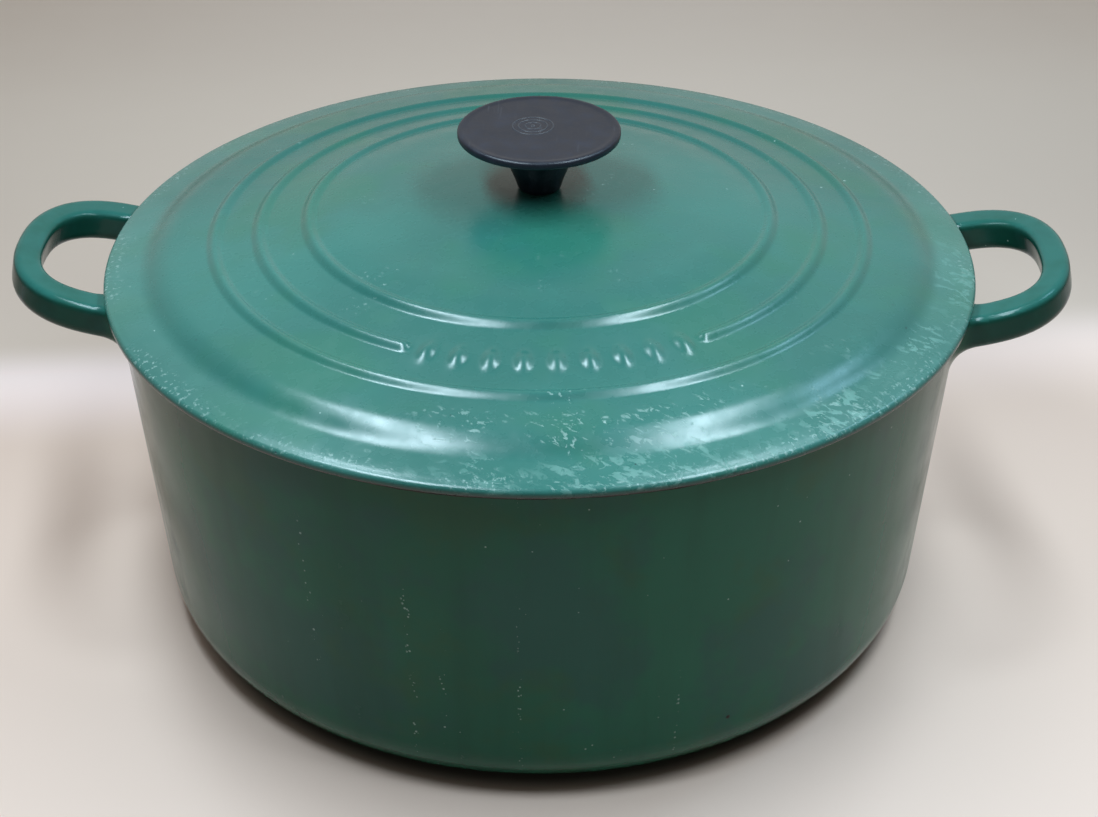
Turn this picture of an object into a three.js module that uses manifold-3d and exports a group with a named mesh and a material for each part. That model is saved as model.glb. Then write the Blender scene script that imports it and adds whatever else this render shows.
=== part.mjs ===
// Covered casserole dish: a round enamelled cast-iron pot with two loop handles cast
// onto its wall, a domed lid with raised rings, and a knob held by a screw from below.
// Millimetres, +Z up. The origin is on the table under the middle of the pot, and the
// handles point along X.
import * as THREE from "three";
import { mergeVertices } from "three/addons/utils/BufferGeometryUtils.js";
import Module from "manifold-3d";

const wasm = await Module();
wasm.setup();

// Pot
const RIM_Z = 131.5; // height of the rim above the table
const RIM_R = 150; // outer radius of the rim
const BASE_R = 140; // where the sloping wall would meet the table
const WALL = 4.4; // casting with its enamel
const FLOOR = 5;
const HEEL_R = 24; // outer corner between wall and base
const HEEL_IN_R = 20; // the same corner inside
const RIM_ROUND = 1.2;

// Handles
const LOOP_REACH = 187.8; // from the pot's axis to the outside of the grip
const LOOP_HALF = 40.5; // half width of the loop where it leaves the wall
const GRIP = 10; // width of the bar at the grip, seen from above
const ARM = 12; // width of the bar along the arms
const LOOP_THICK = 12.4; // height of the bar
const LOOP_ROUND = 3.6; // rounding along the bar's edges
const LOOP_RISE = 12.5; // degrees the loop tips up towards its grip
const LOOP_ROOT = 150; // distance from the axis at which the loop is level with the rim
const LOOP_DROP = 1.1; // depth of the loop's top below the rim at that distance

// Lid
const SEAT_GAP = 0.3; // between the rim and the lid's flange
const FLANGE = 3.2; // thickness of the lid's rim
const LID_R = 154;
const LID_Z = RIM_Z + SEAT_GAP + FLANGE; // top of the flange's outer edge
const DOME = 24.2; // height of the lid's middle above LID_Z
const SHELL = 4.8; // thickness of the lid
const LIP_R = 143.4; // outside of the locating lip under the flange
const LIP_DEPTH = 6; // how far the lip reaches below the flange
const SCREW_HOLE_R = 3.5;
const RIDGE = 1.35; // height of the raised rings
const RIDGE_HALF = 2; // half their width
const RING_1 = 81.5; // radii of the three rings
const RING_2 = 99;
const RING_3 = 114.8;
const GAP_MID = -85; // degrees: the side where the middle ring is left open
const GAP_HALF = 29.3; // half the angle left open
const BEADS = 9; // plain raised ovals that fill the opening
const BEAD_LONG = 5.4; // half their length, along the lid's radius
const BEAD_WIDE = 2.9; // half their width
const BEAD_HIGH = 1.4;

// Knob and its fixing
const KNOB_Z = LID_Z + DOME + 0.3;
const KNOB_H = 22.4;
const KNOB_R = 28.4;
const INSERT_R = 5.2;
const INSERT_H = 12.5;
const SCREW_R = 2.85;
const HEAD_R = 5.6;
const HEAD_H = 3.2;
const WASHER_R = 9;
const WASHER_H = 1.2;

const AROUND = 60; // facets round the pot and the lid
const AROUND_SMALL = 28; // facets round the knob and the fixing
const rad = THREE.MathUtils.degToRad;
const green = { color: 0x1d5a4e, roughness: 0.18, metalness: 0 };

const v2 = (x, y) => new THREE.Vector2(x, y);

function arc(x, z, r, from, to, steps) {
  return Array.from({ length: steps + 1 }, (_, i) => {
    const a = rad(from + ((to - from) * i) / steps);
    return v2(x + r * Math.cos(a), z + r * Math.sin(a));
  });
}

// A solid of revolution about Z. The profile is listed outwards along the bottom, up the
// outside and back along the top, and either starts and ends on the axis or closes itself.
function turned(profile, segments) {
  const onAxis = profile[0].x === 0;
  const points = onAxis ? profile : [...profile, profile[0].clone()];
  return new THREE.LatheGeometry(points, segments).rotateX(Math.PI / 2);
}

function solid(geometry) {
  const g = geometry.clone();
  g.deleteAttribute("normal");
  g.deleteAttribute("uv");
  const merged = mergeVertices(g, 1e-4);
  return new wasm.Manifold(
    new wasm.Mesh({
      numProp: 3,
      vertProperties: merged.attributes.position.array,
      triVerts: merged.index.array,
    }),
  );
}

function geometryOf(manifold) {
  const mesh = manifold.getMesh();
  return new THREE.BufferGeometry()
    .setAttribute("position", new THREE.BufferAttribute(mesh.vertProperties, 3))
    .setIndex(new THREE.BufferAttribute(mesh.triVerts, 1))
    .toNonIndexed();
}

function named(name, geometry, look) {
  geometry.computeVertexNormals();
  const mesh = new THREE.Mesh(geometry, new THREE.MeshStandardMaterial(look));
  mesh.name = name;
  return mesh;
}

// ---- pot ----
const LEAN = Math.atan((RIM_R - BASE_R) / RIM_Z);

// Middle of the corner of radius r between a wall that meets z = 0 at footR and a floor.
function heelX(footR, floorZ, r) {
  return footR + (floorZ + r) * Math.tan(LEAN) - r / Math.cos(LEAN);
}

function potOutside() {
  const lean = THREE.MathUtils.radToDeg(LEAN);
  return [
    v2(0, 0),
    ...arc(heelX(BASE_R, 0, HEEL_R), HEEL_R, HEEL_R, -90, -lean, 8),
    ...arc(RIM_R - RIM_ROUND, RIM_Z - RIM_ROUND, RIM_ROUND, 0, 90, 3),
    v2(0, RIM_Z),
  ];
}

function potInside() {
  const lean = THREE.MathUtils.radToDeg(LEAN);
  const foot = BASE_R - WALL / Math.cos(LEAN);
  const mouth = RIM_R - WALL;
  return [
    v2(0, FLOOR),
    ...arc(heelX(foot, FLOOR, HEEL_IN_R), FLOOR + HEEL_IN_R, HEEL_IN_R, -90, -lean, 7),
    v2(mouth - 0.1, RIM_Z - RIM_ROUND),
    v2(mouth + 0.3, RIM_Z - 0.4),
    v2(mouth + RIM_ROUND, RIM_Z + 0.5),
    v2(0, RIM_Z + 0.5),
  ];
}

// Half outline of a loop seen from above: it flares into the wall at its root, runs out
// along an arm and turns round the grip.
function loopOutline(reach, half, flare, depth, square) {
  const from = LOOP_ROOT;
  const side = [v2(from - depth, half + flare), v2(from + 1, half + 0.3 * flare)];
  for (let i = 0; i <= 9; i += 1) {
    const a = rad(82 - (82 * i) / 9);
    const x = from + (reach - from) * Math.pow(Math.cos(a), 0.78 - square);
    side.push(v2(x, half * Math.pow(Math.sin(a), 0.86 - square)));
  }
  return side;
}

function mirrored(side) {
  const back = side.slice(0, -1).reverse();
  return [...side, ...back.map((p) => v2(p.x, -p.y))];
}

function loopHandle() {
  const shape = new THREE.Shape(mirrored(loopOutline(LOOP_REACH, LOOP_HALF, 4, 9, 0)));
  const inner = loopOutline(LOOP_REACH - GRIP, LOOP_HALF - ARM, -5, 2, 0.1);
  shape.holes.push(new THREE.Path(mirrored(inner).reverse()));
  const bar = new THREE.ExtrudeGeometry(shape, {
    depth: LOOP_THICK - 2 * LOOP_ROUND,
    bevelEnabled: true,
    bevelThickness: LOOP_ROUND,
    bevelSize: LOOP_ROUND,
    bevelOffset: -LOOP_ROUND,
    bevelSegments: 3,
  });
  bar.translate(-LOOP_ROOT, 0, LOOP_ROUND - LOOP_THICK);
  bar.rotateY(-rad(LOOP_RISE));
  bar.translate(LOOP_ROOT, 0, RIM_Z - LOOP_DROP);
  return solid(bar);
}

function pot() {
  const loop = loopHandle();
  const cast = solid(turned(potOutside(), AROUND))
    .add(loop)
    .add(loop.rotate([0, 0, 180]));
  return geometryOf(cast.subtract(solid(turned(potInside(), AROUND))));
}

// ---- lid ----
// Height of the lid's top above LID_Z at some radii, without the rings.
const CROWN = [
  [0, DOME],
  [12, DOME - 0.1],
  [34, DOME - 1.5],
  [58, DOME - 4.5],
  [78, 16.1],
  [90, 13.4],
  [107, 10.1],
  [122, 7.9],
  [128.5, 7.1],
  [132, 6.4],
  [135.2, 5],
  [138.6, 2.9],
  [140.8, 2.1],
  [143, 1.7],
];

function crownAt(r) {
  const i = Math.max(1, CROWN.findIndex(([x]) => x >= r));
  const [a, b] = [CROWN[i - 1], CROWN[i]];
  return a[1] + ((b[1] - a[1]) * (r - a[0])) / (b[0] - a[0]);
}

function ridge(r) {
  return [
    v2(r - RIDGE_HALF, crownAt(r - RIDGE_HALF)),
    v2(r - 0.5 * RIDGE_HALF, crownAt(r) + 0.85 * RIDGE),
    v2(r + 0.4 * RIDGE_HALF, crownAt(r) + 0.9 * RIDGE),
    v2(r + RIDGE_HALF, crownAt(r + RIDGE_HALF)),
  ];
}

function lidProfile() {
  const plain = CROWN.map(([r, z]) => v2(r, z));
  const top = [...plain, ...ridge(RING_1), ...ridge(RING_3)].sort((a, b) => b.x - a.x);
  return [
    v2(0, DOME - SHELL),
    v2(13, DOME - SHELL),
    v2(34, DOME - SHELL - 1.6),
    v2(58, DOME - SHELL - 4.6),
    v2(81, 15.4 - SHELL),
    v2(107, 10.1 - SHELL),
    v2(129, 6.9 - SHELL),
    v2(134.6, 0.2),
    v2(138.2, -FLANGE),
    v2(138.8, -FLANGE - LIP_DEPTH + 0.8),
    v2(139.6, -FLANGE - LIP_DEPTH),
    v2(LIP_R - 1, -FLANGE - LIP_DEPTH),
    v2(LIP_R, -FLANGE - LIP_DEPTH + 1.4),
    v2(LIP_R + 0.4, -FLANGE),
    v2(LID_R - 0.8, -FLANGE),
    v2(LID_R, -FLANGE + 0.8),
    ...arc(LID_R - 1.4, -1.4, 1.4, 0, 80, 3),
    ...top,
  ].map((p) => v2(p.x, p.y + LID_Z));
}

// The middle ring is a bar bent round the lid, open at one side, with rounded ends.
function openRing() {
  const z = crownAt(RING_2) - 0.45 + LID_Z;
  const section = new THREE.Shape(
    Array.from({ length: 6 }, (_, i) => {
      const a = (i * Math.PI) / 3;
      return v2(1.3 * RIDGE * Math.cos(a), RIDGE_HALF * Math.sin(a));
    }),
  );
  class Sweep extends THREE.Curve {
    getPoint(t) {
      const a = rad(GAP_MID + GAP_HALF + (360 - 2 * GAP_HALF) * t);
      return new THREE.Vector3(RING_2 * Math.cos(a), RING_2 * Math.sin(a), z);
    }
  }
  const bar = new THREE.ExtrudeGeometry(section, {
    steps: Math.round((AROUND * (360 - 2 * GAP_HALF)) / 360),
    extrudePath: new Sweep(),
  });
  let ring = solid(bar);
  for (const side of [-1, 1]) {
    const a = rad(GAP_MID + side * GAP_HALF);
    const end = new THREE.SphereGeometry(RIDGE_HALF, 8, 4).scale(1, 1, (1.3 * RIDGE) / RIDGE_HALF);
    end.translate(RING_2 * Math.cos(a), RING_2 * Math.sin(a), z);
    ring = ring.add(solid(end));
  }
  return ring;
}

function bead(i) {
  const a = rad(GAP_MID + (GAP_HALF - 4.9) * ((2 * i) / (BEADS - 1) - 1));
  const slope = Math.atan2(crownAt(RING_2 - 5) - crownAt(RING_2 + 5), 10);
  const dome = new THREE.SphereGeometry(1, 10, 6).scale(BEAD_LONG, BEAD_WIDE, BEAD_HIGH);
  dome.rotateY(slope).translate(RING_2, 0, crownAt(RING_2) + LID_Z).rotateZ(a);
  return solid(dome);
}

function lid() {
  let cast = solid(turned(lidProfile(), AROUND)).add(openRing());
  for (let i = 0; i < BEADS; i += 1) cast = cast.add(bead(i));
  const hole = new THREE.CylinderGeometry(SCREW_HOLE_R, SCREW_HOLE_R, 40, 24);
  hole.rotateX(Math.PI / 2).translate(0, 0, LID_Z + DOME);
  return geometryOf(cast.subtract(solid(hole)));
}

// ---- knob and fixing ----
function knob() {
  const z = KNOB_Z;
  const bore = INSERT_R + 0.3;
  const top = z + KNOB_H;
  const profile = [
    v2(0, z + INSERT_H + 0.9),
    v2(bore, z + INSERT_H + 0.9),
    v2(bore, z),
    v2(7.2, z),
    v2(7.6, z + 0.5),
    v2(8.6, z + 3.6),
    v2(10.1, z + 6.7),
    v2(11.8, z + 10),
    v2(14.2, z + 13.4),
    v2(18.3, z + 16.4),
    v2(23.6, z + 18.5),
    v2(27.7, z + 19.4),
    v2(KNOB_R, z + 20),
    v2(KNOB_R, top - 0.9),
    v2(KNOB_R - 0.5, top - 0.25),
    v2(KNOB_R - 1.4, top),
    v2(6.2, top - 0.3),
    v2(5.8, top - 0.6),
    v2(5.4, top - 0.3),
    v2(0, top - 0.3),
  ];
  return turned(profile, AROUND_SMALL + 12);
}

// A brass sleeve moulded into the knob, with two grooves round it for grip.
function knobInsert() {
  const z = KNOB_Z + 0.3;
  const groove = (at) => [
    v2(INSERT_R, z + at),
    v2(INSERT_R - 0.6, z + at + 0.4),
    v2(INSERT_R - 0.6, z + at + 1.4),
    v2(INSERT_R, z + at + 1.8),
  ];
  const profile = [
    v2(SCREW_R + 0.15, z),
    v2(INSERT_R, z),
    ...groove(2.5),
    ...groove(7.5),
    v2(INSERT_R, z + INSERT_H),
    v2(SCREW_R + 0.15, z + INSERT_H),
  ];
  return turned(profile, AROUND_SMALL - 8);
}

const UNDER = LID_Z + DOME - SHELL; // underside of the lid at its middle

function lidWasher() {
  const z = UNDER - 0.3 - WASHER_H;
  const profile = [
    v2(SCREW_R + 0.3, z),
    v2(WASHER_R - 0.3, z),
    v2(WASHER_R, z + 0.3),
    v2(WASHER_R, z + WASHER_H),
    v2(SCREW_R + 0.3, z + WASHER_H),
  ];
  return turned(profile, AROUND_SMALL);
}

function lidScrew() {
  const z = UNDER - 0.6 - WASHER_H;
  const profile = [
    v2(0, z - HEAD_H),
    v2(HEAD_R - 2, z - HEAD_H),
    v2(HEAD_R - 0.7, z - HEAD_H + 0.5),
    v2(HEAD_R, z - HEAD_H + 1.5),
    v2(HEAD_R, z),
    v2(SCREW_R, z),
    v2(SCREW_R, z + 16.5),
    v2(SCREW_R - 0.8, z + 17.5),
    v2(0, z + 17.5),
  ];
  const slot = new THREE.BoxGeometry(3 * HEAD_R, 1.4, 2.8);
  slot.translate(0, 0, z - HEAD_H);
  const body = solid(turned(profile, AROUND_SMALL - 12));
  return geometryOf(body.subtract(solid(slot)));
}

const casserole = new THREE.Group();
casserole.name = "covered_casserole";
casserole.add(
  named("pot", pot(), green),
  named("lid", lid(), green),
  named("knob", knob(), { color: 0x15171a, roughness: 0.45, metalness: 0 }),
  named("knob_insert", knobInsert(), { color: 0xb08d57, roughness: 0.4, metalness: 1 }),
  named("lid_washer", lidWasher(), { color: 0x9a9c9e, roughness: 0.35, metalness: 1 }),
  named("lid_screw", lidScrew(), { color: 0x9a9c9e, roughness: 0.3, metalness: 1 }),
);

export default casserole;
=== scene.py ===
"""Looks of the covered casserole dish: enamelled pot and lid, phenolic knob and its fixing."""

import math

import bmesh
import bpy
import numpy as np
from mathutils import Euler, Matrix, Vector

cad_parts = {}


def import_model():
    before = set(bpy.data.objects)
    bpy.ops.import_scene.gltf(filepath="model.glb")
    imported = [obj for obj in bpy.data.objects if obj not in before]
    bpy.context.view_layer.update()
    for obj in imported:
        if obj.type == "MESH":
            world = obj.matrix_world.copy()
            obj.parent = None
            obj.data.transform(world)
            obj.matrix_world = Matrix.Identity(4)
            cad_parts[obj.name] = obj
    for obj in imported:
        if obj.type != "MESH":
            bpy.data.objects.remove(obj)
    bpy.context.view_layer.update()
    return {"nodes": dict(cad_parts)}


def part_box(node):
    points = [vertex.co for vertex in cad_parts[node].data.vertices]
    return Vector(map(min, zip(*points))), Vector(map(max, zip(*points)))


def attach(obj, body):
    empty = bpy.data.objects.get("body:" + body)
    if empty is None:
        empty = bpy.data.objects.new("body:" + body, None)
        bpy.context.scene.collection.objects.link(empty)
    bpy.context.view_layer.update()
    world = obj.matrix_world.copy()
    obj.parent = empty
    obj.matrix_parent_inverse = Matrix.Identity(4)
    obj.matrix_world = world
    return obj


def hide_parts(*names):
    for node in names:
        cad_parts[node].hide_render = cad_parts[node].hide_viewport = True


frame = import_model()
MM = 0.001

# ---------------------------------------------------------------- dimensions, in millimetres
RIM_Z, RIM_R, BASE_R, WALL, FLOOR = 131.5, 150.0, 140.0, 4.4, 5.0
LID_Z, LID_R, FLANGE, SHELL, DOME = 135.0, 154.0, 3.2, 4.8, 24.2
LIP_R, LIP_DEPTH = 143.4, 6.0
# radius and height of each ring, and half the width of all of them
RINGS = ((81.5, 1.45), (99.0, 1.35), (114.8, 1.35))
RING_HALF = 3.1
# the gap in the middle ring, in degrees, and the ovals in it
GAP_MID, GAP_HALF, GAP_MARGIN, BEADS = -85.0, 29.3, 4.9, 9
BEAD_LONG, BEAD_WIDE, BEAD_HIGH = 6.4, 3.7, 1.35
LEAN = math.atan((RIM_R - BASE_R) / RIM_Z)
HEEL_OUT, HEEL_IN = 24.0, 20.0
LOOP_ROOT, LOOP_REACH, LOOP_HALF, LOOP_THICK = 150.0, 187.8, 40.5, 12.4
GRIP, ARM, LOOP_TOP, LOOP_RISE = 10.0, 12.0, 130.4, math.radians(12.5)
KNOB_Z, KNOB_H, KNOB_R = LID_Z + DOME + 0.3, 22.4, 28.4


# ---------------------------------------------------------------- mesh helpers
def mesh_object(name, verts_mm, faces):
    mesh = bpy.data.meshes.new(name)
    mesh.from_pydata((np.asarray(verts_mm) * MM).tolist(), [], faces)
    mesh.validate()
    mesh.shade_smooth()
    obj = bpy.data.objects.new(name, mesh)
    bpy.context.scene.collection.objects.link(obj)
    return obj


def arc(x, z, r, start, end, steps):
    """Points on an arc about (x, z), between two angles in degrees."""
    a = np.radians(np.linspace(start, end, steps + 1))
    return np.stack([x + r * np.cos(a), z + r * np.sin(a)], 1)


def through(points, step):
    """A smooth curve through the points (Catmull-Rom), sampled about every step."""
    p = np.asarray(points, float)
    p = np.vstack([2 * p[0] - p[1], p, 2 * p[-1] - p[-2]])
    out = []
    for i in range(1, len(p) - 2):
        n = max(1, int(np.hypot(*(p[i + 1] - p[i])) / step + 0.5))
        t = np.arange(n)[:, None] / n
        a, b, c, d = p[i - 1 : i + 3]
        out.append(0.5 * (2 * b + (c - a) * t + (2 * a - 5 * b + 4 * c - d) * t**2
                          + (3 * b - a - 3 * c + d) * t**3))
    out.append(p[-2:-1])
    return np.vstack(out)


def line(a, b, step):
    """Points from a to b, about a step apart."""
    n = max(1, int(math.hypot(b[0] - a[0], b[1] - a[1]) / step + 0.5))
    return np.linspace(a, b, n + 1)


def lathe(profile, around, loop=False):
    """Verts (around x len(profile)) and quads of a profile turned about Z; weld() merges the axis points."""
    a = np.linspace(0, 2 * np.pi, around, endpoint=False)
    r, z = profile[:, 0], profile[:, 1]
    verts = np.stack([np.outer(np.cos(a), r), np.outer(np.sin(a), r),
                      np.broadcast_to(z, (around, len(z)))], -1).reshape(-1, 3)
    n = len(profile)
    i = np.arange(around)[:, None]
    j = np.arange(n if loop else n - 1)[None, :]
    k, m = (i + 1) % around, (j + 1) % n
    faces = np.stack([i * n + j, k * n + j, k * n + m, i * n + m], -1).reshape(-1, 4)
    return verts, faces


def weld(obj):
    bm = bmesh.new()
    bm.from_mesh(obj.data)
    bmesh.ops.remove_doubles(bm, verts=bm.verts, dist=1e-6)
    bmesh.ops.dissolve_degenerate(bm, edges=bm.edges, dist=1e-7)
    bm.to_mesh(obj.data)
    bm.free()
    obj.data.shade_smooth()


# ---------------------------------------------------------------- pot
def wall_r(z):
    """Radius of the outside of the leaning wall."""
    return BASE_R + z * (RIM_R - BASE_R) / RIM_Z


def heel_x(foot, floor, r):
    """Where an arc of radius r is centred, to join a floor to a wall that would meet it at foot."""
    return foot + (floor + r) * math.tan(LEAN) - r / math.cos(LEAN)


def ellipse_like(u, y, a, b, p, q):
    """Signed distance to the end |u/a|^p + |y/b|^q = 1, straight for u < 0; exact only near its edge."""
    up, ya = np.maximum(u, 0) / a, np.abs(y) / b
    g = np.maximum(up**p + ya**q, 1e-6)
    gu, gy = p * np.maximum(up, 1e-9) ** (p - 1) / a, q * np.maximum(ya, 1e-9) ** (q - 1) / b
    s = 2.5
    near = (g ** (1 / s) - 1) * s * g ** (1 - 1 / s) / np.maximum(np.hypot(gu, gy), 1e-3)
    deep = (g ** (1 / s) - 1) * 0.5 * min(a, b)
    return np.where(g < 1, np.minimum(near, deep), near)


def loop_field(p):
    """Distance to the bar of the +X loop."""
    dx, dz = p[:, 0] - LOOP_ROOT, p[:, 2] - LOOP_TOP
    u = dx * math.cos(LOOP_RISE) + dz * math.sin(LOOP_RISE)
    w = dz * math.cos(LOOP_RISE) - dx * math.sin(LOOP_RISE)
    y = p[:, 1]
    outer = ellipse_like(u, y, LOOP_REACH - LOOP_ROOT, LOOP_HALF, 2.56, 2.33)
    inner = ellipse_like(u, y, LOOP_REACH - GRIP - LOOP_ROOT, LOOP_HALF - ARM, 2.94, 2.63)
    side = np.maximum(outer, -inner)
    half = LOOP_THICK / 2
    flat = np.abs(w + half) - half
    r = np.where(w > -half, 2.5, 4.2)
    qx, qz = side + r, flat + r
    return np.hypot(np.maximum(qx, 0), np.maximum(qz, 0)) + np.minimum(np.maximum(qx, qz), 0) - r


def pot_field(p):
    """The wall with the +X loop cast onto it: a smooth union, kept under the lid's flange."""
    r = np.hypot(p[:, 0], p[:, 1])
    wall = (r - wall_r(p[:, 2])) * math.cos(LEAN)
    loop = loop_field(p)
    k = 8.0
    h = np.maximum(k - np.abs(wall - loop), 0) / k
    union = np.minimum(wall, loop) - h * h * k / 4
    cap = p[:, 2] - (RIM_Z - 0.25) - np.maximum(r - 154.6, 0) * 0.7
    cap = np.where(r < 172, cap, -50)
    k = 1.2
    h = np.maximum(k - np.abs(union - cap), 0) / k
    return np.maximum(union, cap) + h * h * k / 4


def surface_net(field, low, high, step):
    """Quads round the zero of a field on a box, with each point pulled onto the zero."""
    axes = [np.arange(a, b, step) for a, b in zip(low, high)]
    shape = [len(a) for a in axes]
    grid = np.stack(np.meshgrid(*axes, indexing="ij"), -1).reshape(-1, 3)
    f = field(grid).reshape(shape)
    inside = f < 0
    cells = [n - 1 for n in shape]
    count = np.zeros(cells, int)
    for c in np.ndindex(2, 2, 2):
        count += inside[tuple(slice(o, o + n) for o, n in zip(c, cells))]
    mixed = (count > 0) & (count < 8)
    index = -np.ones(cells, int)
    index[mixed] = np.arange(mixed.sum())
    verts = np.argwhere(mixed) * step + np.array([a[0] for a in axes]) + step / 2
    for _ in range(5):
        e = 0.05
        g = np.stack([(field(verts + e * v) - field(verts - e * v)) / (2 * e) for v in np.eye(3)], 1)
        move = (field(verts) / np.maximum((g**2).sum(1), 0.05))[:, None] * g
        verts = verts - np.clip(move, -step, step)
    faces = []
    for ax in range(3):
        u, v = (ax + 1) % 3, (ax + 2) % 3
        a = inside.take(range(shape[ax] - 1), ax)
        b = inside.take(range(1, shape[ax]), ax)
        where = np.argwhere(a != b)
        keep = (where[:, u] > 0) & (where[:, v] > 0)
        keep &= (where[:, u] < shape[u] - 1) & (where[:, v] < shape[v] - 1)
        where = where[keep]
        flip = a[tuple(where.T)]
        quad = []
        for du, dv in ((-1, -1), (0, -1), (0, 0), (-1, 0)):
            w = where.copy()
            w[:, u] += du
            w[:, v] += dv
            quad.append(index[tuple(w.T)])
        quad = np.stack(quad, 1)
        faces.append(np.where(flip[:, None], quad, quad[:, ::-1]))
    return verts, np.vstack(faces)


# where the inside of the wall would meet the floor, and the height from which the wall's rings are close
FOOT_IN = BASE_R - WALL / math.cos(LEAN)
FINE_Z = 96.0


def build_pot():
    lean = math.degrees(LEAN)
    mouth = RIM_R - WALL
    outside = [
        line((0, 0), (heel_x(BASE_R, 0, HEEL_OUT) - 6, 0), 12),
        arc(heel_x(BASE_R, 0, HEEL_OUT), HEEL_OUT, HEEL_OUT, -90, -lean, 26),
        line((wall_r(HEEL_OUT), HEEL_OUT), (wall_r(FINE_Z), FINE_Z), 6)[2:],
        line((wall_r(FINE_Z), FINE_Z), (RIM_R - 0.1, RIM_Z - 1.4), 1.7)[1:],
        arc(RIM_R - 1.25, RIM_Z - 1.2, 1.2, 0, 90, 6),
    ]
    inside = [
        arc(mouth + 1.1, RIM_Z - 1.0, 1.0, 90, 180, 5),
        line((mouth, RIM_Z - 2), (FOOT_IN + (FLOOR + 22) * math.tan(LEAN), FLOOR + 22), 5),
        arc(heel_x(FOOT_IN, FLOOR, HEEL_IN), FLOOR + HEEL_IN, HEEL_IN, -lean, -90, 22)[1:],
        line((heel_x(FOOT_IN, FLOOR, HEEL_IN) - 5, FLOOR), (0, FLOOR), 12),
    ]
    profile = np.vstack(outside + inside)
    n_out = sum(len(o) for o in outside) - 4
    verts, faces = lathe(profile, 360)
    # open the wall where the loops are cast on; one half turn maps each loop onto the other
    p = verts.copy()
    p[p[:, 0] < 0] *= (-1, -1, 1)
    near = (loop_field(p) < 9.5) & (np.hypot(p[:, 0], p[:, 1]) > 148)
    column = np.tile(np.arange(len(profile)), 360)
    near &= column < n_out
    faces = faces[~near[faces].all(1)]
    patch, quads = surface_net(pot_field, (139, -62, 92), (191, 62, 143), 0.95)
    r = np.hypot(patch[:, 0], patch[:, 1])
    keep = (loop_field(patch) < 15) & (r > 147.2) & (patch[:, 0] > 0)
    # the patch overlaps the wall round the opening, a hair under its surface
    sunk = np.clip((loop_field(patch) - 8) / 5, 0, 1) * 0.05
    patch[:, :2] -= patch[:, :2] / r[:, None] * sunk[:, None]
    quads = quads[keep[quads].all(1)]
    used, quads = np.unique(quads, return_inverse=True)
    patch, quads = patch[used], quads.reshape(-1, 4)
    parts, all_faces, base = [verts], [faces], len(verts)
    for sign in (1, -1):
        parts.append(patch * (sign, sign, 1))
        all_faces.append(quads + base)
        base += len(patch)
    obj = mesh_object("pot_casting", np.vstack(parts), np.vstack(all_faces).tolist())
    weld(obj)
    return obj


# ---------------------------------------------------------------- lid
CROWN = [(-12, DOME - 0.1), (0, DOME), (12, DOME - 0.15), (24, DOME - 0.8), (38, DOME - 2.0),
         (56, DOME - 4.4), (70, 18.2), (81.5, 15.4), (90, 13.5), (99, 11.7), (107, 10.2),
         (114.8, 9.0), (122, 8.0), (128.5, 7.1), (132, 6.35), (135.2, 5.0), (138.4, 3.15),
         (140.8, 2.2), (143.4, 1.75), (148, 1.05), (151.5, 0.35), (152.3, 0.1)]
_crown = through(CROWN, 0.4)


def crown(r):
    """Height of the lid's upper side over its seat."""
    return np.interp(r, _crown[:, 0], _crown[:, 1])


def hump(t):
    """A smooth rise, 1 in the middle and 0 from 1 on."""
    t = np.clip(np.abs(t), 0, 1)
    return (1 - t**2) ** 2


def relief(r, a):
    """Height of the rings and beads at radius r (mm) and azimuth a (radians)."""
    out = np.zeros_like(r)
    for i, (ring, high) in enumerate(RINGS):
        across = (r - ring) / RING_HALF
        along = 0.0
        if i == 1:
            off = np.degrees(np.abs((a - math.radians(GAP_MID) + np.pi) % (2 * np.pi) - np.pi))
            along = np.maximum(np.radians(GAP_HALF - off) * ring, 0) / RING_HALF
        out += high * hump(np.hypot(across, along))
    for i in range(BEADS):
        c = math.radians(GAP_MID + (GAP_HALF - GAP_MARGIN) * (2 * i / (BEADS - 1) - 1))
        along = (r * np.cos(a - c) - RINGS[1][0]) / BEAD_LONG
        across = r * np.sin(a - c) / BEAD_WIDE
        d2 = np.where(np.cos(a - c) > 0, along**2 + across**2, 9)
        out += BEAD_HIGH * np.clip(1 - d2, 0, 1) ** 1.6
    return out


def lid_radii():
    """Radii of the upper side's loops, close together over the rings and ovals: start, end and step."""
    steps = [(3.6, 12, 1.6), (12, 76, 4.0), (76, 78, 1.0), (78, 85.2, 0.45), (85.2, 95, 1.6),
             (95, 103, 0.42), (103, 110.5, 1.6), (110.5, 119, 0.45), (119, 128, 1.4),
             (128, 144, 0.7), (144, 151.6, 1.2)]
    return np.concatenate([np.arange(a, b - 1e-6, s) for a, b, s in steps])


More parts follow.
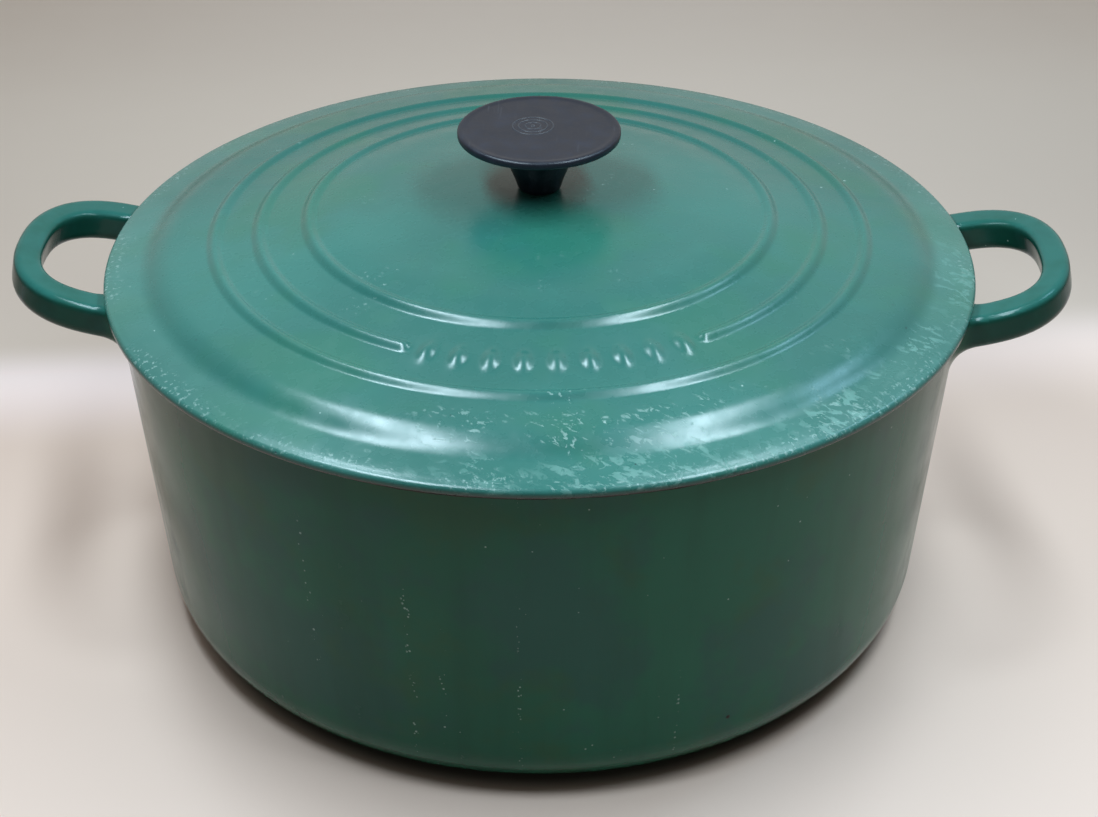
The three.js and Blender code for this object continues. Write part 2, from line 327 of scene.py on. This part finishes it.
def build_lid():
    radii = lid_radii()
    top = np.stack([radii, crown(radii)], 1)
    edge = np.vstack([
        arc(LID_R - 1.9, -1.85, 1.9, 86, 0, 8),
        arc(LID_R - 0.9, -FLANGE + 0.9, 0.9, 0, -90, 5),
    ])
    lip = np.vstack([
        line((LID_R - 2, -FLANGE), (LIP_R + 1.2, -FLANGE), 1.6),
        arc(LIP_R + 1.0, -FLANGE - 0.8, 0.8, 90, 180, 3),
        arc(LIP_R - 1.4, -FLANGE - LIP_DEPTH + 1.4, 1.4, 0, -90, 5),
        arc(139.9, -FLANGE - LIP_DEPTH + 1.0, 1.0, -90, -180, 4),
    ])
    under = through([
        (138.6, -FLANGE - 2.5), (137.6, -FLANGE + 0.6), (134.6, 0.4), (129, 2.1), (118, 4.0), (107, 5.3),
        (81, 10.6), (58, 15.0), (34, 17.9), (13, DOME - SHELL), (3.6, DOME - SHELL),
    ], 3.0)
    profile = np.vstack([top, edge, lip, under])
    around = 720
    verts, faces = lathe(profile, around, loop=True)
    verts = verts.reshape(around, len(profile), 3)
    n = len(radii)
    a = np.arctan2(verts[:, :n, 1], verts[:, :n, 0])
    verts[:, :n, 2] += relief(np.broadcast_to(radii, (around, n)).copy(), a)
    verts = verts.reshape(-1, 3)
    verts[:, 2] += LID_Z
    return mesh_object("lid_casting", verts, faces[:, ::-1].tolist())


# ---------------------------------------------------------------- knob
def build_knob():
    z, top = KNOB_Z, KNOB_Z + KNOB_H
    stem = through([
        (7.0, z), (7.45, z + 0.35), (7.8, z + 1.2), (8.7, z + 4), (9.9, z + 7), (11.2, z + 10.4),
        (13.0, z + 13.6), (16.6, z + 16.6), (22.0, z + 18.5), (26.6, z + 19.3), (27.7, z + 19.6),
    ], 0.7)
    rim = np.vstack([
        arc(KNOB_R - 0.8, z + 20.4, 0.8, -80, 0, 5),
        arc(KNOB_R - 1.1, top - 1.1, 1.1, 0, 86, 7),
    ])
    # the top is dished by a quarter of a millimetre
    face = [(26.6, top - 0.02), (26.0, top - 0.12), (25.2, top - 0.22), (24, top - 0.25),
            (20, top - 0.26), (12, top - 0.26), (6, top - 0.25), (0, top - 0.24)]
    bore = np.array([(0, z + 13.4), (5.5, z + 13.4), (5.5, z + 0.4), (5.9, z)])
    profile = np.vstack([bore, stem, rim, through(face, 0.35)])
    verts, faces = lathe(profile, 192)
    obj = mesh_object("knob_moulding", verts, faces.tolist())
    weld(obj)
    return obj


def build_washer():
    low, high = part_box("lid_washer")
    z0, z1, r = low[2] / MM, high[2] / MM, high[0] / MM
    profile = np.vstack([
        line((3.15, z0 + 0.15), (3.3, z0), 1), line((4, z0), (r - 0.5, z0), 1.2),
        arc(r - 0.3, z0 + 0.3, 0.3, -90, 0, 4), arc(r - 0.2, z1 - 0.2, 0.2, 0, 90, 3),
        line((r - 0.8, z1), (3.3, z1), 1.2), line((3.15, z1 - 0.15), (3.15, z0 + 0.5), 1),
    ])
    verts, faces = lathe(profile, 96, loop=True)
    return mesh_object("washer_turned", verts, faces.tolist())


# ---------------------------------------------------------------- node helpers
class Tree:
    def __init__(self, name):
        self.mat = bpy.data.materials.new(name)
        self.mat.use_nodes = True
        self.t = self.mat.node_tree
        self.t.nodes.clear()
        self.out = self.add("ShaderNodeOutputMaterial")
        self.bsdf = self.add("ShaderNodeBsdfPrincipled")
        self.t.links.new(self.bsdf.outputs[0], self.out.inputs["Surface"])
        self.pos = self.add("ShaderNodeTexCoord").outputs["Object"]

    def add(self, kind, **attrs):
        n = self.t.nodes.new(kind)
        for k, v in attrs.items():
            setattr(n, k, v)
        return n

    def put(self, socket, value):
        if isinstance(value, bpy.types.NodeSocket):
            self.t.links.new(value, socket)
        elif value is not None:
            socket.default_value = value

    def math(self, op, a, b=None):
        n = self.add("ShaderNodeMath", operation=op)
        self.put(n.inputs[0], a)
        self.put(n.inputs[1], b)
        return n.outputs[0]

    def chain(self, op, values):
        out = values[0]
        for v in values[1:]:
            out = self.math(op, out, v)
        return out

    def times(self, *values):
        return self.chain("MULTIPLY", values)

    def most(self, *values):
        return self.chain("MAXIMUM", values)

    def plus(self, a, b):
        return self.math("ADD", a, b)

    def minus(self, a, b):
        return self.math("SUBTRACT", a, b)

    def size_of(self, a):
        return self.math("ABSOLUTE", a)

    def above(self, a, limit):
        return self.math("GREATER_THAN", a, limit)

    def below(self, a, limit):
        return self.math("LESS_THAN", a, limit)

    def long_side(self, a, b):
        return self.math("SQRT", self.plus(self.times(a, a), self.times(b, b)))

    def up(self):
        """The Z part of the surface's normal."""
        return self.split(self.add("ShaderNodeNewGeometry").outputs["Normal"])[2]

    def noise(self, scale, detail=3.0, rough=0.5, vec=None, distort=0.0):
        n = self.add("ShaderNodeTexNoise", noise_type="FBM")
        self.put(n.inputs["Vector"], vec or self.pos)
        n.inputs["Scale"].default_value = scale
        n.inputs["Detail"].default_value = detail
        n.inputs["Roughness"].default_value = rough
        n.inputs["Distortion"].default_value = distort
        return n.outputs["Fac"]

    def ramp(self, value, a, b, to_a=0.0, to_b=1.0):
        """to_a where the value is a, smoothly to to_b where it is b; a may be the larger."""
        n = self.add("ShaderNodeMapRange", interpolation_type="SMOOTHSTEP")
        self.put(n.inputs["Value"], value)
        for k, v in (("From Min", a), ("From Max", b), ("To Min", to_a), ("To Max", to_b)):
            n.inputs[k].default_value = v
        return n.outputs[0]

    def mix(self, fac, a, b):
        n = self.add("ShaderNodeMix", data_type="RGBA")
        self.put(n.inputs[0], fac)
        for s, v in ((n.inputs[6], a), (n.inputs[7], b)):
            self.put(s, (*v, 1) if isinstance(v, tuple) else v)
        return n.outputs[2]

    def scaled(self, x, y, z, vec=None, turn=0.0):
        n = self.add("ShaderNodeMapping")
        self.put(n.inputs["Vector"], vec or self.pos)
        n.inputs["Scale"].default_value = (x, y, z)
        n.inputs["Rotation"].default_value = (0, 0, turn)
        return n.outputs[0]

    def split(self, vec=None):
        n = self.add("ShaderNodeSeparateXYZ")
        self.put(n.inputs[0], vec or self.pos)
        return n.outputs

    def bump(self, height, distance, strength=1.0, normal=None):
        n = self.add("ShaderNodeBump")
        self.put(n.inputs["Height"], height)
        n.inputs["Distance"].default_value = distance
        n.inputs["Strength"].default_value = strength
        if normal is not None:
            self.put(n.inputs["Normal"], normal)
        return n.outputs[0]

    def finish(self, color, rough, normal=None, **fixed):
        self.put(self.bsdf.inputs["Base Color"], (*color, 1) if isinstance(color, tuple) else color)
        self.put(self.bsdf.inputs["Roughness"], rough)
        if normal is not None:
            self.put(self.bsdf.inputs["Normal"], normal)
        for k, v in fixed.items():
            self.bsdf.inputs[k.replace("_", " ")].default_value = v
        return self.mat


def polar(t):
    """Radius, azimuth and height of the point, in metres and radians."""
    x, y, z = t.split()
    return t.long_side(x, y), t.math("ARCTAN2", y, x), z


# ---------------------------------------------------------------- colours
LID_GREEN = (0.019, 0.116, 0.096)
LID_LEAF = (0.017, 0.114, 0.074)
LID_EDGE_SHADE = (0.004, 0.045, 0.036)
LID_PIT = (0.01, 0.03, 0.035)
POT_GREEN = (0.009, 0.088, 0.052)
POT_BLUE = (0.015, 0.062, 0.058)
POT_LEAF = (0.020, 0.076, 0.034)
LOOP_SIDE_SHADE = (0.005, 0.040, 0.028)
LOOP_TOP_GREEN = (0.017, 0.100, 0.082)
LOOP_WORN = (0.012, 0.070, 0.060)
PALE = (0.105, 0.245, 0.21)
CHALK = (0.34, 0.47, 0.43)
CREAM = (0.72, 0.66, 0.53)
LID_STAIN = (0.60, 0.52, 0.38)
POT_STAIN = (0.56, 0.47, 0.33)
SPOON_MARK = (0.30, 0.27, 0.23)
IRON = (0.012, 0.0105, 0.009)
BROWN_IRON = (0.030, 0.024, 0.018)
RESIN = (0.003, 0.006, 0.013)
RESIN_GREY = (0.009, 0.013, 0.024)
RESIN_SCRATCH = (0.07, 0.075, 0.09)
RESIN_RING = (0.06, 0.07, 0.085)
STEEL = (0.55, 0.55, 0.56)
SCREW_STEEL = (0.56, 0.56, 0.57)
BRASS = (0.60, 0.43, 0.19)


# ---------------------------------------------------------------- masks
def enamel_base(t, green):
    """Colour that drifts a little over the surface, as thick glaze does."""
    slow = t.noise(9, 2, 0.5)
    fine = t.noise(70, 4, 0.6)
    dark = tuple(0.88 * c for c in green)
    light = tuple(1.1 * c for c in green)
    col = t.mix(t.ramp(slow, 0.35, 0.68), dark, light)
    return t.mix(t.times(t.ramp(fine, 0.5, 0.72), 0.14), col, tuple(1.3 * c for c in green))


def moved(t, x, y, z, vec=None):
    """Coordinates shifted, so that one noise is unlike the next."""
    n = t.add("ShaderNodeMapping")
    t.put(n.inputs["Vector"], vec or t.pos)
    n.inputs["Location"].default_value = (x, y, z)
    return n.outputs[0]


def dots(t, cell, share, size, seed):
    """Small round specks in a random share of the cells."""
    n = t.add("ShaderNodeTexVoronoi", feature="F1")
    t.put(n.inputs["Vector"], moved(t, seed, 2 * seed, 0.5))
    n.inputs["Scale"].default_value = cell
    pick = t.split(n.outputs["Color"])
    shape = t.below(n.outputs["Distance"], t.times(pick[1], size))
    return t.times(t.above(pick[0], 1 - share), shape)


def strokes(t, r, a):
    """Coordinates as arc length and squeezed radius, in which noise makes short radial strokes."""
    n = t.add("ShaderNodeCombineXYZ")
    t.put(n.inputs[0], t.times(a, RIM_R * MM))
    t.put(n.inputs[1], t.times(r, 0.75))
    return n.outputs[0]


def towards(t, a, degrees, near, far):
    """1 in the direction given, falling to 0 away from it."""
    c = t.math("COSINE", t.minus(a, math.radians(degrees)))
    return t.ramp(c, math.cos(math.radians(far)), math.cos(math.radians(near)))


def lid_flakes(t, r, a, flange):
    """Scuffs: joined-up flakes on the flange between -Y and +X, brighter chips on the shoulder at -Y."""
    grain = t.scaled(0.5, 1, 1, t.scaled(1, 1, 1, turn=0.47))
    flakes = t.ramp(t.noise(300, 5, 0.62, grain, distort=0.7), 0.535, 0.575)
    patchy = t.ramp(t.noise(30, 3, 0.6), 0.40, 0.56)
    flakes = t.times(flakes, patchy, flange, towards(t, a, -48, 22, 66))
    chips = t.ramp(t.noise(520, 4, 0.65, moved(t, 0.3, 0.1, 0, grain), 0.6), 0.59, 0.63)
    shoulder = t.ramp(r, 120 * MM, 126 * MM)
    chips = t.times(chips, shoulder, t.ramp(t.noise(40, 2), 0.42, 0.56), towards(t, a, -74, 18, 46))
    return flakes, chips


def lid_specks(t, r, a, z):
    """Short strokes right round the outer edge, and a few marks and some grit anywhere."""
    edge = t.times(t.ramp(r, 145.5 * MM, 150.5 * MM), t.ramp(z, 133.8 * MM, 134.5 * MM))
    stroke = t.ramp(t.noise(640, 3, 0.65, strokes(t, r, a)), 0.57, 0.63)
    rimmed = t.times(edge, stroke, t.ramp(t.noise(38, 2, 0.5, moved(t, 1, 0, 0)), 0.36, 0.56))
    marks = t.ramp(t.noise(560, 3, 0.6, moved(t, 0, 2, 0)), 0.64, 0.68)
    stray = t.times(marks, t.ramp(t.noise(26, 3, 0.6, moved(t, 2, 1, 0)), 0.60, 0.68))
    return rimmed, stray, dots(t, 420, 0.012, 0.2, 0.7)


def lid_underside(t, r, z, col):
    """Cream enamel inside the seat and round the lip, and bare iron on the seat."""
    down = t.below(t.up(), -0.15)
    inner = t.times(down, t.ramp(r, 151.5 * MM, 150.8 * MM))
    lip = t.times(t.below(z, 131.7 * MM), t.below(r, 144.5 * MM))
    stain = t.mix(t.ramp(t.noise(16, 4, 0.6), 0.4, 0.7), CREAM, LID_STAIN)
    col = t.mix(t.most(inner, lip), col, stain)
    worn = t.ramp(t.noise(60, 3), 0.3, 0.5, 0.5, 0.95)
    return t.mix(t.times(down, t.ramp(r, 143.2 * MM, 143.8 * MM), worn), col, IRON)


def lid_material():
    t = Tree("lid_glaze")
    r, a, z = polar(t)
    col = enamel_base(t, LID_GREEN)
    drift = t.ramp(t.noise(15, 3, 0.6, moved(t, 5, 3, 0)), 0.48, 0.62, 0.0, 0.55)
    col = t.mix(drift, col, LID_LEAF)
    flange = t.ramp(r, 137.5 * MM, 142.5 * MM)
    flakes, chips = lid_flakes(t, r, a, flange)
    rimmed, stray, grit = lid_specks(t, r, a, z)
    bright = t.most(t.times(rimmed, 0.6), t.times(t.most(stray, chips), 0.55), grit)
    # the flange is rubbed paler at both sides, over the loops
    sides = t.size_of(t.math("COSINE", a))
    col = t.mix(t.times(flange, sides, t.ramp(t.noise(20, 3), 0.3, 0.65, 0.08, 0.28)), col, PALE)
    col = t.mix(t.times(flakes, 0.62), col, PALE)
    col = t.mix(t.times(bright, 0.6), col, CHALK)
    pitted = t.times(t.ramp(r, 118 * MM, 126 * MM), towards(t, a, -80, 30, 80))
    pits = t.times(dots(t, 300, 0.10, 0.15, 3.1), pitted)
    col = t.mix(t.times(pits, 0.85), col, LID_PIT)
    # painted shade: the side of the outer edge is darker low down
    painted_edge_shade = t.times(t.ramp(z, 134.2 * MM, 132.8 * MM), t.above(r, 151.5 * MM))
    col = t.mix(t.times(painted_edge_shade, 0.92), col, LID_EDGE_SHADE)
    col = lid_underside(t, r, z, col)
    scuff = t.most(flakes, bright)
    rough = t.plus(t.times(scuff, 0.12), t.ramp(t.noise(120, 3, 0.6), 0.3, 0.8, 0.24, 0.34))
    n = t.bump(t.noise(34, 2, 0.5), 0.9 * MM, 0.4)
    n = t.bump(t.minus(scuff, t.times(pits, 2)), 0.08 * MM, 0.6, n)
    return t.finish(col, rough, n, IOR=1.52)


def loop_colour_and_side_shade(t):
    """The loops keep the colour of the lid on top; on their sides, found by the normal, shade is painted
    darker.
    """
    flat = t.size_of(t.up())
    loops = t.mix(t.ramp(flat, 0.25, 0.8), LOOP_SIDE_SHADE, LOOP_TOP_GREEN)
    return t.mix(t.times(t.ramp(t.noise(90, 4, 0.6), 0.45, 0.75), 0.35), loops, LOOP_WORN)


def wall_specks(t, a, z):
    """Pale specks: scattered, in patches, and in upright strings."""
    patches = t.times(dots(t, 420, 0.10, 0.15, 0.3), t.ramp(t.noise(22, 2), 0.5, 0.62))
    specks = t.most(patches, dots(t, 360, 0.012, 0.16, 1.3))
    round_wall = t.add("ShaderNodeCombineXYZ")
    t.put(round_wall.inputs[0], t.times(a, RIM_R * MM))
    strings = t.ramp(t.noise(95, 2, 0.6, round_wall.outputs[0]), 0.655, 0.675)
    strings = t.times(strings, t.ramp(t.noise(16, 2, 0.5, moved(t, 4, 0, 0)), 0.5, 0.6))
    wander = t.times(t.minus(t.noise(60, 2), 0.5), 0.02)
    # azimuth in radians, then the lowest and highest speck in millimetres
    for where, low, high in ((-1.835, 12, 85), (-1.76, 30, 70), (-2.08, 50, 100)):
        aside = t.size_of(t.plus(t.minus(a, where), wander))
        tall = t.times(t.ramp(z, (low - 10) * MM, low * MM), t.ramp(z, (high + 10) * MM, high * MM))
        strings = t.most(strings, t.times(t.ramp(aside, 0.009, 0.004), tall))
    return t.most(specks, t.times(strings, dots(t, 760, 0.8, 0.36, 2.2)))


def inside_pot(t, r, z):
    """1 on everything nearer the cooking side than the middle of the wall."""
    mid_x = (heel_x(BASE_R, 0, HEEL_OUT) + heel_x(FOOT_IN, FLOOR, HEEL_IN)) / 2 * MM
    mid_z = (HEEL_OUT + FLOOR + HEEL_IN) / 2 * MM
    rise = t.times(t.most(t.minus(z, mid_z), 0.0), math.tan(LEAN))
    out = t.most(t.minus(t.minus(r, mid_x), rise), 0.0)
    low = t.most(t.minus(mid_z, z), 0.0)
    return t.below(t.long_side(out, low), (HEEL_OUT + HEEL_IN) / 2 * MM)


def pot_material():
    t = Tree("pot_glaze")
    r, a, z = polar(t)
    col = enamel_base(t, POT_GREEN)
    blue = t.ramp(t.noise(18, 4, 0.65, moved(t, 1, 7, 2)), 0.46, 0.60, 0.0, 0.55)
    col = t.mix(blue, col, POT_BLUE)
    leaf = t.ramp(t.noise(24, 4, 0.65, moved(t, 6, 2, 3)), 0.50, 0.66, 0.0, 0.5)
    col = t.mix(leaf, col, POT_LEAF)
    # the loops' colour, with painted shade on their sides
    col = t.mix(t.ramp(r, 150 * MM, 156 * MM), col, loop_colour_and_side_shade(t))
    streak = t.ramp(t.noise(60, 4, 0.6, t.scaled(1, 1, 0.06)), 0.45, 0.7)
    col = t.mix(t.times(streak, 0.3), col, tuple(0.6 * c for c in POT_GREEN))
    col = t.mix(t.times(wall_specks(t, a, z), 0.5), col, CHALK)
    # the cream cooking side, stained and lightly marked
    inside = inside_pot(t, r, z)
    stain = t.mix(t.ramp(t.noise(14, 4, 0.6), 0.42, 0.7), CREAM, POT_STAIN)
    marks = t.ramp(t.noise(300, 3, 0.7, t.scaled(1, 0.08, 1, turn=0.6)), 0.66, 0.74)
    col = t.mix(inside, col, t.mix(t.times(marks, 0.35), stain, SPOON_MARK))
    # bare, browned iron along the rim, at a few chips and on the ground base
    rimline = t.plus(z, t.times(t.minus(t.noise(70, 4, 0.6), 0.5), 1.6 * MM))
    rim = t.times(t.ramp(rimline, 128.8 * MM, 129.1 * MM), t.below(r, 151.2 * MM))
    base = t.times(t.ramp(z, 0.6 * MM, 0.3 * MM), t.ramp(r, 120 * MM, 119.5 * MM))
    chips = t.times(dots(t, 60, 0.012, 0.12, 5.2), t.minus(1.0, inside))
    bare = t.most(rim, base, chips)
    iron = t.mix(t.ramp(t.noise(180, 4, 0.6), 0.4, 0.65), IRON, BROWN_IRON)
    col = t.mix(bare, col, iron)
    rough = t.plus(t.ramp(t.noise(90, 3, 0.6), 0.3, 0.8, 0.14, 0.22), t.times(bare, 0.35))
    rough = t.plus(rough, t.times(streak, 0.08))
    n = t.bump(t.noise(30, 2, 0.5), 0.8 * MM, 0.3)
    n = t.bump(t.noise(400, 2, 0.5), 0.08 * MM, 0.15, n)
    return t.finish(col, rough, n, IOR=1.5, Specular_IOR_Level=0.17)


def knob_material():
    t = Tree("knob_resin")
    x, y, z = t.split()
    col = t.mix(t.ramp(t.noise(120, 5, 0.7), 0.45, 0.8), RESIN, RESIN_GREY)
    scratch = t.ramp(t.noise(900, 2, 0.6, t.scaled(1, 0.05, 1, turn=0.5)), 0.66, 0.74)
    col = t.mix(t.times(scratch, 0.2), col, RESIN_SCRATCH)
    rough = t.ramp(t.noise(240, 4, 0.6), 0.3, 0.75, 0.36, 0.46)
    # the moulding mark, turned rings a little off the middle of the top
    d = t.long_side(t.plus(x, 2.2 * MM), t.minus(y, 2.6 * MM))
    offs = [t.size_of(t.minus(d, radius * MM)) for radius in (0.6, 2.7, 5.0, 7.1)]
    rings = t.most(*(t.ramp(off, 0.45 * MM, 0.1 * MM) for off in offs))
    rings = t.times(rings, t.above(z, (KNOB_Z + KNOB_H - 1.2) * MM))
    col = t.mix(t.times(rings, 0.26), col, RESIN_RING)
    n = t.bump(t.noise(900, 3, 0.6), 0.06 * MM, 0.4)
    n = t.bump(rings, 0.3 * MM, 0.8, n)
    return t.finish(col, rough, n, IOR=1.46)


def metal_material(name, colour, rough):
    t = Tree(name)
    tone = t.noise(300, 4, 0.6)
    col = t.mix(t.ramp(tone, 0.35, 0.7), tuple(0.75 * c for c in colour), colour)
    turned = t.noise(900, 2, 0.6, t.scaled(0.1, 0.1, 1))
    n = t.bump(turned, 0.06 * MM, 0.6)
    return t.finish(col, t.ramp(tone, 0.3, 0.7, rough, rough + 0.18), n, Metallic=1.0)


# ---------------------------------------------------------------- pieces
def wear(piece, body, material, node):
    piece.data.materials.clear()
    piece.data.materials.append(material)
    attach(piece, body)
    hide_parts(node)


wear(build_pot(), "pot", pot_material(), "pot")
wear(build_lid(), "lid", lid_material(), "lid")
wear(build_knob(), "lid", knob_material(), "knob")
washer_look = metal_material("washer_metal", STEEL, 0.3)
wear(build_washer(), "washer", washer_look, "lid_washer")
# the sleeve and the screw keep their CAD shapes
for node, look in (("knob_insert", metal_material("insert_metal", BRASS, 0.3)),
                   ("lid_screw", metal_material("screw_metal", SCREW_STEEL, 0.26))):
    for used in frame["nodes"][node].material_slots:
        used.material = look

# ---------------------------------------------------------------- stage, light and camera
# the paper, in millimetres: half its side, lines along a side, and how far it lies below the base
PAPER_HALF, PAPER_LINES, PAPER_DROP = 4000, 64, 0.2
# the fold behind the dish, in metres: its slope in X, and where it starts, is brightest and ends in Y
FOLD_SLOPE, FOLD_START, FOLD_MID, FOLD_END = -0.107, 0.135, 0.15, 0.185
# the colours of the tent's floor and wall, each from front to back; the floor's darker front is painted
# shade and the wall's lighter back is painted light
FLOOR_NEAR_SHADED, FLOOR_FAR = (0.79, 0.605, 0.51), (0.93, 0.705, 0.585)
WALL_LOW, WALL_HIGH_LIT = (0.74, 0.60, 0.50), (1.0, 0.86, 0.73)
# the paper's random tint, and the colour of the painted contact shadow under the base
PAPER_TINT, PAPER_CONTACT_SHADOW = (0.74, 0.60, 0.53), (0.03, 0.036, 0.026)
# the unlit paper, and the colours of its painted glow far away and along the fold
UNLIT, FAR_GLOW, FOLD_GLOW = (0, 0, 0), (0.055, 0.06, 0.065), (0.17, 0.19, 0.25)
LAMP_BLUE, SIDE_BLUE = (0.70, 0.88, 1.0), (0.45, 0.75, 1.0)
# the camera: millimetres, degrees of pitch, roll and heading, and its sensor and lens in millimetres
CAMERA_AT, CAMERA_TURNS = (22.36, -666.06, 485.63), (57.88, 0.127, 1.57)
SENSOR, FOCAL = 36, 68.757


def floor_material():
    """Paper toned as the tent's floor and then its back wall; the two meet in a fold behind the dish. Its
    tones carry painted light and shade: a contact shadow under the base, a glow, and brightness that changes
    from front to back.
    """
    t = Tree("floor_paper")
    x, y, z = t.split()
    away = t.plus(y, t.times(x, FOLD_SLOPE))
    # painted light: the wall is lighter further from the dish
    wall = t.mix(t.ramp(away, 0.2, 0.48), WALL_LOW, WALL_HIGH_LIT)
    # painted shade: the floor is darker towards the front
    near = t.mix(t.ramp(y, -0.20, 0.05), FLOOR_NEAR_SHADED, FLOOR_FAR)
    col = t.mix(t.ramp(away, FOLD_START, FOLD_END), near, wall)
    col = t.mix(t.times(t.noise(2.2, 3, 0.5), 0.15), col, PAPER_TINT)
    # painted contact shadow: nearly black where the base stands
    under = t.ramp(t.long_side(x, y), 138.5 * MM, 128.5 * MM, 0.0, 0.9)
    col = t.mix(under, col, PAPER_CONTACT_SHADOW)
    # painted light: the paper glows at the far middle and along the fold
    far = t.times(t.ramp(away, 0.3, 0.7), t.ramp(t.size_of(x), 0.45, 0.05))
    fold = t.times(t.ramp(away, 0.09, FOLD_MID), t.ramp(away, FOLD_END, FOLD_MID))
    fold = t.times(fold, t.ramp(x, 0.25, -0.25, 0.55, 1.0))
    glow = t.mix(fold, t.mix(far, UNLIT, FAR_GLOW), FOLD_GLOW)
    t.put(t.bsdf.inputs["Emission Color"], glow)
    t.bsdf.inputs["Emission Strength"].default_value = 1.0
    rough = t.ramp(t.noise(40, 2), 0.3, 0.7, 0.55, 0.65)
    return t.finish(col, rough, t.bump(t.noise(500, 2), 0.05 * MM, 0.3))


def floor():
    g = np.linspace(-PAPER_HALF, PAPER_HALF, PAPER_LINES)
    x, y = np.meshgrid(g, g, indexing="ij")
    verts = np.stack([x, y, np.full_like(x, -PAPER_DROP)], -1).reshape(-1, 3)
    squares = np.arange(PAPER_LINES - 1)
    i, j = np.meshgrid(squares, squares, indexing="ij")
    first = i * PAPER_LINES + j
    after = first + PAPER_LINES
    faces = np.stack([first, after, after + 1, first + 1], -1).reshape(-1, 4)
    obj = mesh_object("floor", verts, faces.tolist())
    obj.data.materials.append(floor_material())


def world():
    """Light from the inside of a tent: bright and beige behind, dim at the sides, above and in front."""
    w = bpy.data.worlds.new("tent")
    bpy.context.scene.world = w
    w.use_nodes = True
    t = w.node_tree
    t.nodes.clear()
    out, back = t.nodes.new("ShaderNodeOutputWorld"), t.nodes.new("ShaderNodeBackground")
    coord, split = t.nodes.new("ShaderNodeTexCoord"), t.nodes.new("ShaderNodeSeparateXYZ")
    ramp = t.nodes.new("ShaderNodeValToRGB")
    t.links.new(coord.outputs["Generated"], split.inputs[0])
    t.links.new(split.outputs["Y"], ramp.inputs[0])
    t.links.new(ramp.outputs[0], back.inputs["Color"])
    t.links.new(back.outputs[0], out.inputs[0])
    e = ramp.color_ramp.elements
    e[0].position, e[0].color = 0.0, (0.16, 0.15, 0.15, 1)
    e[1].position, e[1].color = 0.8, (0.64, 0.615, 0.575, 1)
    between = e.new(0.45)
    between.color = (0.33, 0.315, 0.30, 1)
    back.inputs["Strength"].default_value = 1.0


def strip(name, back, front, width, power, colour):
    """A lamp bar on the tent's roof, facing down."""
    light = bpy.data.lights.new(name, "AREA")
    light.shape = "RECTANGLE"
    span = Vector(front) - Vector(back)
    light.size, light.size_y = width, span.length
    light.energy, light.color = power, colour
    obj = bpy.data.objects.new(name, light)
    obj.location = (Vector(front) + Vector(back)) / 2
    obj.rotation_euler = (0, 0, math.atan2(span.y, span.x) - math.pi / 2)
    bpy.context.scene.collection.objects.link(obj)


def camera():
    cam = bpy.data.cameras.new("photo_camera")
    cam.sensor_fit = "HORIZONTAL"
    cam.sensor_width = SENSOR
    cam.lens = FOCAL
    cam.clip_start, cam.clip_end = 0.02, 50
    obj = bpy.data.objects.new("photo_camera", cam)
    turns = Euler([math.radians(d) for d in CAMERA_TURNS])
    obj.matrix_world = Matrix.LocRotScale(Vector(CAMERA_AT) * MM, turns, None)
    bpy.context.scene.collection.objects.link(obj)
    bpy.context.scene.camera = obj


floor()
world()
strip("lamp_left", (-0.175, 0.06, 0.485), (-0.116, -0.29, 0.485), 0.065, 2.3, LAMP_BLUE)
strip("lamp_right", (0.154, 0.06, 0.485), (0.219, -0.29, 0.485), 0.065, 2.05, LAMP_BLUE)
strip("lamp_side", (0.385, 0.15, 0.50), (0.365, 0.03, 0.50), 0.12, 0.5, SIDE_BLUE)
camera()
bpy.context.scene.view_settings.view_transform = "Standard"
